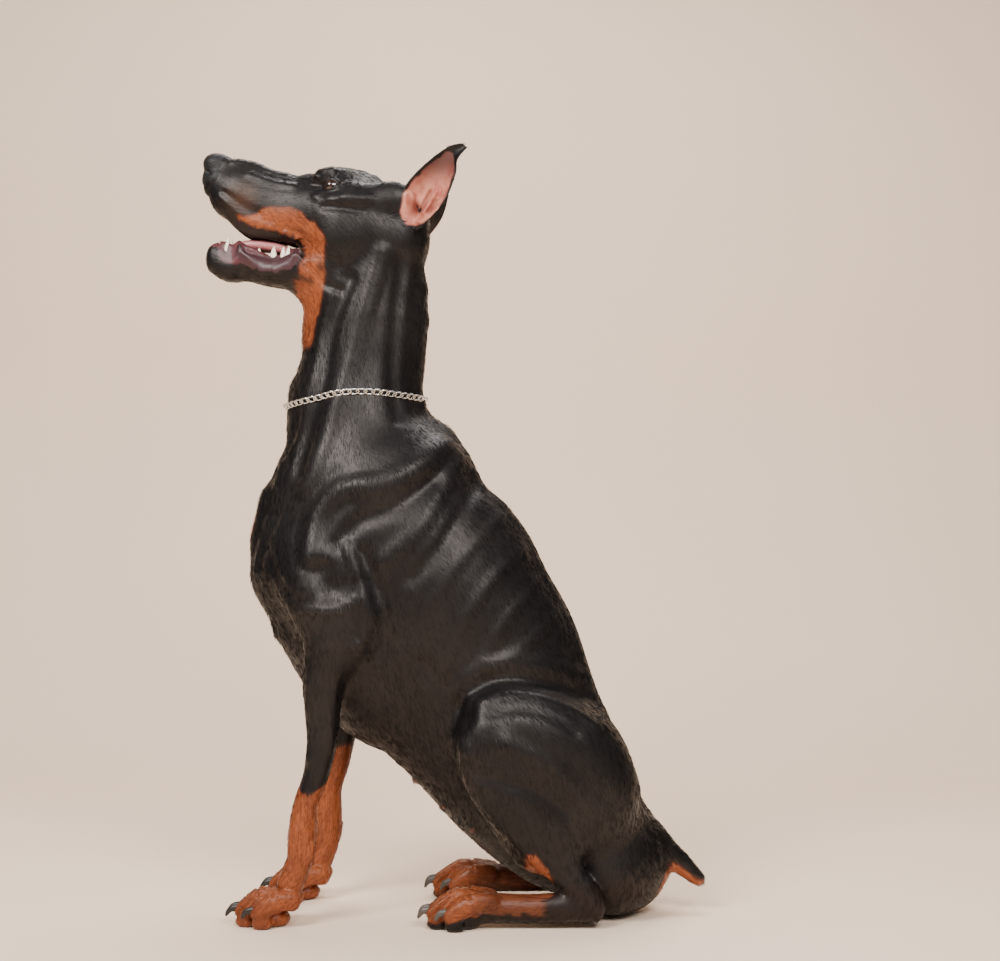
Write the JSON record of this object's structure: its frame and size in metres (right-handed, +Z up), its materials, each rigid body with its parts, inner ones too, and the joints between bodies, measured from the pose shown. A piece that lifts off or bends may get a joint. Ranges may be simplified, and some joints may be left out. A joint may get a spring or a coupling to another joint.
{
  "type": "doberman pinscher",
  "caption": "Life-size sitting doberman pinscher, cropped ears, docked tail, mouth open, with a chain collar.",
  "frame": {"origin": "middle of the bounding box in plan, on the floor that the dog sits on", "axes": "+Z up, the dog faces -X, its left side is towards -Y"},
  "size_m": [0.5988, 0.2704, 0.902],
  "materials": {
    "black_coat": "short glossy black fur, with rust markings",
    "rust_coat": "short rust-brown fur",
    "wet_nose": "moist black pebbled nose leather",
    "pink_flesh": "moist pink tongue and gums",
    "eye_gloss": "wet dark brown eye",
    "claw_horn": "dark horn of the claws and pads",
    "tooth_ivory": "ivory white enamel",
    "silver": "polished steel chain"
  },
  "bodies": {
    "root": {"head": "black_coat", "nose_pad": "wet_nose", "lower_jaw": "black_coat", "tongue": "pink_flesh", "ear_left": "black_coat", "ear_right": "black_coat", "eye_left": "eye_gloss", "eye_right": "eye_gloss", "neck": "black_coat", "collar_chain": "silver", "chest": "black_coat", "rump": "black_coat", "tail": "black_coat", "foreleg_left": "black_coat", "foreleg_right": "black_coat", "forefoot_left": "rust_coat", "forefoot_right": "rust_coat", "thigh_left": "black_coat", "thigh_right": "black_coat", "hind_foot_left": "rust_coat", "hind_foot_right": "rust_coat"}
  },
  "joints": []
}
